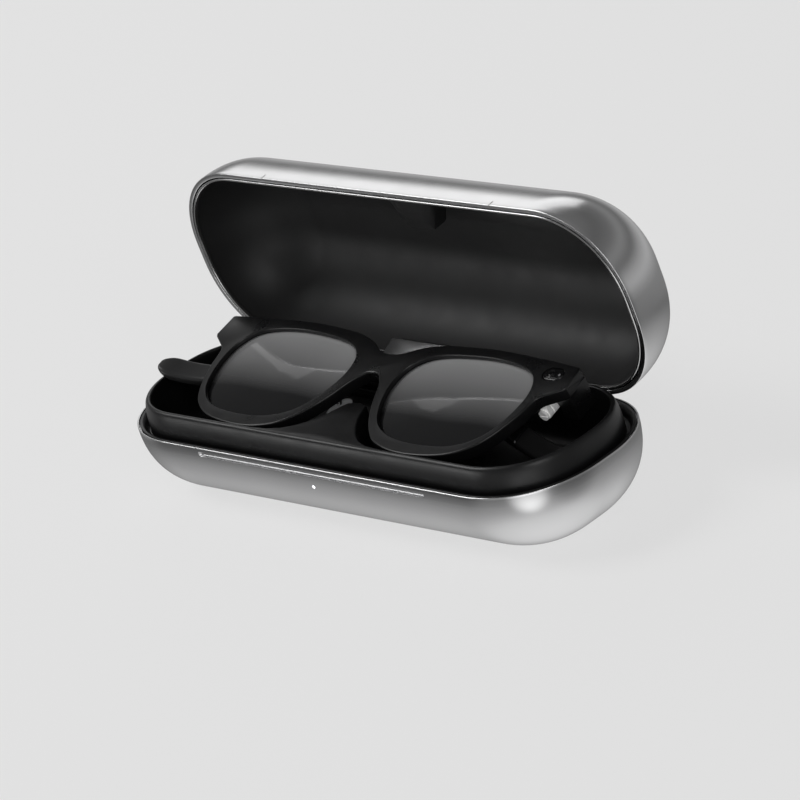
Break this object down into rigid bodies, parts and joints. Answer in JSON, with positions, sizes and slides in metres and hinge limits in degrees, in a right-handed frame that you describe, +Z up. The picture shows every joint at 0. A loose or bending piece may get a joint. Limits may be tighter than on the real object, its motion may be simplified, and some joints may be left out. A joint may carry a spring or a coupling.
{
  "type": "smart glasses",
  "caption": "Camera glasses with fold-under temples, lying face up in a hinged metal charging case whose lid stands open.",
  "frame": {"origin": "centre of the flat on the underside of the case, on the rest plane", "axes": "+Z up, +X along the case and across the glasses, +Y towards the lid hinge"},
  "size_m": [0.1806, 0.0832, 0.0861],
  "materials": {
    "satin_silver": "satin",
    "bright_steel": "bright",
    "gold_plate": "polished",
    "tray_black": "soft touch",
    "frame_black": "satin",
    "sleeve_black": "matte",
    "lens_grey": "polished",
    "clear_silicone": "clear",
    "window_black": "gloss",
    "board_green": "solder mask",
    "cell_grey": "satin",
    "light_white": "diffuse"
  },
  "bodies": {
    "case_base": {"base_shell": "satin_silver", "base_tray": "tray_black", "nose_rest": "tray_black", "base_magnet": "bright_steel", "base_weight": "bright_steel", "hinge_cover": "satin_silver", "case_battery": "cell_grey", "charge_board": "board_green", "usb_port": "bright_steel", "usb_tongue": "tray_black", "status_light": "light_white", "pin_post_left": "tray_black", "pin_post_right": "tray_black", "base_hinge": "bright_steel", "lid_hinge_pin": "bright_steel"},
    "lid": {"lid_shell": "satin_silver", "lid_trim": "bright_steel", "lid_liner": "tray_black", "lid_magnet": "bright_steel", "lid_hinge": "bright_steel"},
    "glasses": {"front_frame": "frame_black", "lens_left": "lens_grey", "lens_right": "lens_grey", "charge_contact_left": "gold_plate", "charge_contact_right": "gold_plate", "camera_window": "window_black", "camera_module": "tray_black", "capture_light": "light_white", "nose_pad_left": "clear_silicone", "nose_pad_right": "clear_silicone", "pad_arm_left": "bright_steel", "pad_arm_right": "bright_steel", "front_hinge_left": "bright_steel", "front_hinge_right": "bright_steel", "hinge_screw_left": "bright_steel", "hinge_screw_right": "bright_steel"},
    "left_temple": {"temple_left": "frame_black", "temple_sleeve_left": "sleeve_black", "temple_cover_left": "frame_black", "circuit_board_left": "board_green", "temple_battery_left": "cell_grey", "speaker_left": "bright_steel", "temple_hinge_left": "bright_steel"},
    "right_temple": {"temple_right": "frame_black", "temple_sleeve_right": "sleeve_black", "temple_cover_right": "frame_black", "circuit_board_right": "board_green", "temple_battery_right": "cell_grey", "speaker_right": "bright_steel", "temple_hinge_right": "bright_steel", "touch_strip": "window_black"},
    "capture_button": {"capture_button": "frame_black"},
    "power_button": {"power_button": "frame_black"},
    "pair_button": {"pair_button": "tray_black"},
    "charge_pin_left": {"charge_pin_left": "gold_plate"},
    "charge_pin_right": {"charge_pin_right": "gold_plate"}
  },
  "joints": [
    {"name": "lid_hinge", "type": "hinge", "parent": "case_base", "child": "lid", "pos_m": [0, 0.02975, 0.02636], "axis": [-1, 0, 0], "range_deg": [-84, 0]},
    {"name": "glasses_lift", "type": "slide", "parent": "case_base", "child": "glasses", "axis": [0, -0.2735, 0.9619], "range_m": [0, 0.2]},
    {"name": "left_temple_hinge", "type": "hinge", "parent": "glasses", "child": "left_temple", "pos_m": [-0.0642, 0.00881, 0.03145], "axis": [0, 0.9619, 0.2735], "range_deg": [0, 87.6]},
    {"name": "right_temple_hinge", "type": "hinge", "parent": "glasses", "child": "right_temple", "pos_m": [0.0642, 0.00881, 0.03145], "axis": [0, -0.9619, -0.2735], "range_deg": [0, 91.9]},
    {"name": "capture_press", "type": "slide", "parent": "right_temple", "child": "capture_button", "axis": [0, -0.9619, -0.2735], "range_m": [0, 0.0004]},
    {"name": "power_press", "type": "slide", "parent": "left_temple", "child": "power_button", "axis": [0, -0.9619, -0.2735], "range_m": [0, 0.0004]},
    {"name": "pair_press", "type": "slide", "parent": "case_base", "child": "pair_button", "axis": [0, -0.9135, 0.4067], "range_m": [0, 0.0005]},
    {"name": "left_pin_press", "type": "slide", "parent": "case_base", "child": "charge_pin_left", "axis": [0, 0.2735, -0.9619], "range_m": [0, 0.0008]},
    {"name": "right_pin_press", "type": "slide", "parent": "case_base", "child": "charge_pin_right", "axis": [0, 0.2735, -0.9619], "range_m": [0, 0.0008]}
  ],
  "couplings": [
    {"joint": "left_temple_hinge", "follows": "glasses_lift", "rad_per_m": 7.6445},
    {"joint": "right_temple_hinge", "follows": "glasses_lift", "rad_per_m": 1.1227}
  ]
}
